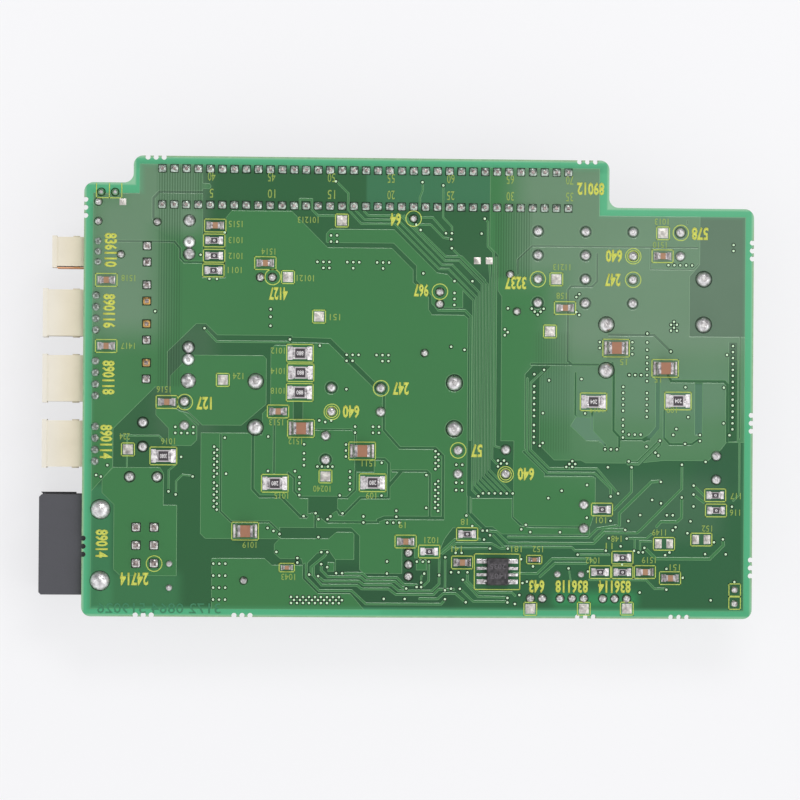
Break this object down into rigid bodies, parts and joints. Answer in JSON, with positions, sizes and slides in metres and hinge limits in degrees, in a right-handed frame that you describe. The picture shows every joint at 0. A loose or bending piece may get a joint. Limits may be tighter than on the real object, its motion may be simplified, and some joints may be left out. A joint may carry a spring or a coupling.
{
  "type": "printed circuit board",
  "caption": "Control and power supply board of an industrial controller, solder side up, with a straight socket on its tab and plug headers on its left edge.",
  "frame": {"origin": "centre of the bounding box at the level of the tallest parts' faces, which the board rests on with its solder side up", "axes": "+X along the long edge away from the plug headers, +Y towards the tab with the main connector, +Z out of the solder side"},
  "size_m": [0.1518, 0.0976, 0.0192],
  "materials": {
    "laminate": "glossy solder mask over glass-fibre laminate",
    "black_housing": "satin moulded plastic",
    "cream_housing": "satin moulded plastic",
    "tinned_pin": "tinned",
    "gilt_pin": "polished",
    "solder": "bright solder",
    "copper_film": "thin amber film",
    "can": "printed sleeve",
    "seal": "matt",
    "ferrite": "matt",
    "copper_wire": "enamelled copper",
    "filter_case": "moulded",
    "fuse_case": "clear tinted",
    "absorber_coat": "dipped coat",
    "resistor_film": "glazed",
    "capacitor_ceramic": "fired",
    "lamp_case": "tinted resin",
    "chip_mould": "moulded resin"
  },
  "bodies": {
    "root": {"board": "laminate", "main_connector_housing": "black_housing", "main_connector_contacts": "tinned_pin", "main_connector_joints": "solder", "power_inlet_housing": "black_housing", "power_inlet_pins": "tinned_pin", "power_inlet_joints": "solder", "board_locks": "tinned_pin", "board_lock_joints": "solder", "output_header_lower": "cream_housing", "output_header_middle": "cream_housing", "output_header_upper": "cream_housing", "output_header_pins": "tinned_pin", "output_header_joints": "solder", "signal_header_housing": "cream_housing", "signal_header_pins": "tinned_pin", "signal_header_joints": "solder", "signal_header_strip": "copper_film", "edge_header_left": "cream_housing", "edge_header_middle": "cream_housing", "edge_header_right": "cream_housing", "edge_header_pins": "tinned_pin", "edge_header_joints": "solder", "filter_capacitor_cans": "can", "filter_capacitor_seals": "seal", "filter_capacitor_leads": "tinned_pin", "filter_capacitor_joints": "solder", "choke_cores": "ferrite", "choke_windings": "copper_wire", "choke_leads": "copper_wire", "choke_joints": "solder", "line_filter_blocks": "filter_case", "line_filter_leads": "tinned_pin", "line_filter_joints": "solder", "fuse_holders": "black_housing", "fuse_bodies": "fuse_case", "fuse_terminals": "tinned_pin", "fuse_joints": "solder", "surge_absorber_discs": "absorber_coat", "surge_absorber_leads": "tinned_pin", "surge_absorber_joints": "solder", "pin_strip_bases": "black_housing", "pin_strip_pins": "gilt_pin", "pin_strip_joints": "solder", "test_posts": "tinned_pin", "test_post_joints": "solder", "small_resistor_bodies": "resistor_film", "small_resistor_terminals": "solder", "small_capacitor_bodies": "capacitor_ceramic", "small_capacitor_terminals": "solder", "large_resistor_bodies": "resistor_film", "large_resistor_terminals": "solder", "large_capacitor_bodies": "capacitor_ceramic", "large_capacitor_terminals": "solder", "interface_chip_body": "chip_mould", "interface_chip_leads": "tinned_pin", "underside_chip_bodies": "chip_mould", "underside_chip_leads": "tinned_pin", "indicator_lamps": "lamp_case", "indicator_lamp_leads": "tinned_pin"}
  },
  "joints": []
}
